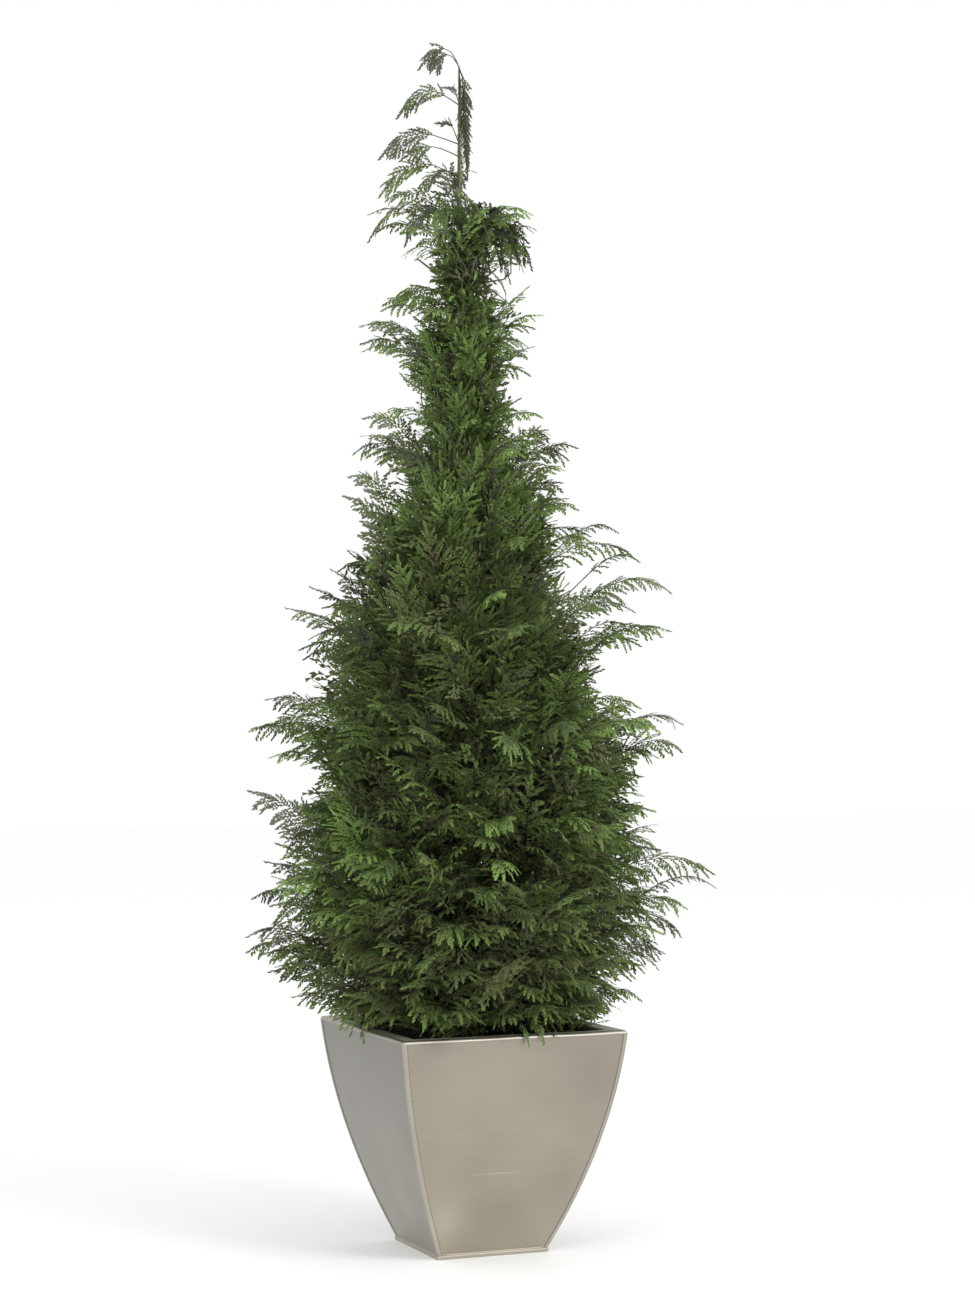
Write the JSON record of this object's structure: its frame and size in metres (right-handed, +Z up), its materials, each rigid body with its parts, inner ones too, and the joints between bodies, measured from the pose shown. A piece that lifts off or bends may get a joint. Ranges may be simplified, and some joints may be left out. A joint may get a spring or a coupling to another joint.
{
  "type": "potted conifer",
  "caption": "Tall narrow conifer with flat feathery sprays and a nodding leader, planted in a square tapering pot of brushed sheet steel.",
  "frame": {"origin": "middle of the flat underside of the pot's foot", "axes": "+Z up, along the trunk; X and Y square to the pot's four sides, -Y the side that faces forward"},
  "size_m": [0.7602, 0.795, 2.14],
  "materials": {
    "brushed_steel": "brushed, warm grey",
    "soil": "matte, dark and moist",
    "bark": "matte, fibrous",
    "foliage": "matte, dark green"
  },
  "bodies": {
    "root": {"bough_1_a": "bark", "bough_1_b": "bark", "bough_1_c": "bark", "bough_1_d": "bark", "bough_1_e": "bark", "bough_2_a": "bark", "bough_2_b": "bark", "bough_2_c": "bark", "bough_2_d": "bark", "bough_2_e": "bark", "bough_3_a": "bark", "bough_3_b": "bark", "bough_3_c": "bark", "bough_3_d": "bark", "bough_3_e": "bark", "foliage_1_a": "foliage", "foliage_1_b": "foliage", "foliage_1_c": "foliage", "foliage_1_d": "foliage", "foliage_1_e": "foliage", "foliage_2_a": "foliage", "foliage_2_b": "foliage", "foliage_2_c": "foliage", "foliage_2_d": "foliage", "foliage_2_e": "foliage", "foliage_3_a": "foliage", "foliage_3_b": "foliage", "foliage_3_c": "foliage", "foliage_3_d": "foliage", "foliage_3_e": "foliage", "foliage_4_a": "foliage", "foliage_4_b": "foliage", "foliage_4_c": "foliage", "foliage_4_d": "foliage", "foliage_4_e": "foliage", "foliage_5_a": "foliage", "foliage_5_b": "foliage", "foliage_5_c": "foliage", "foliage_5_d": "foliage", "foliage_6_a": "foliage", "foliage_6_b": "foliage", "foliage_6_c": "foliage", "foliage_7_a": "foliage", "foliage_7_b": "foliage", "foliage_7_c": "foliage", "foliage_8_a": "foliage", "foliage_8_b": "foliage", "foliage_8_c": "foliage", "foliage_8_d": "foliage", "leader_spray_1": "foliage", "leader_spray_2": "foliage", "leader_spray_3": "foliage", "leader_spray_4": "foliage", "leader_spray_5": "foliage", "leader_tip": "foliage", "leader_veil": "foliage", "pot_foot": "brushed_steel", "pot_shell": "brushed_steel", "soil": "soil", "trunk": "bark"}
  },
  "joints": []
}
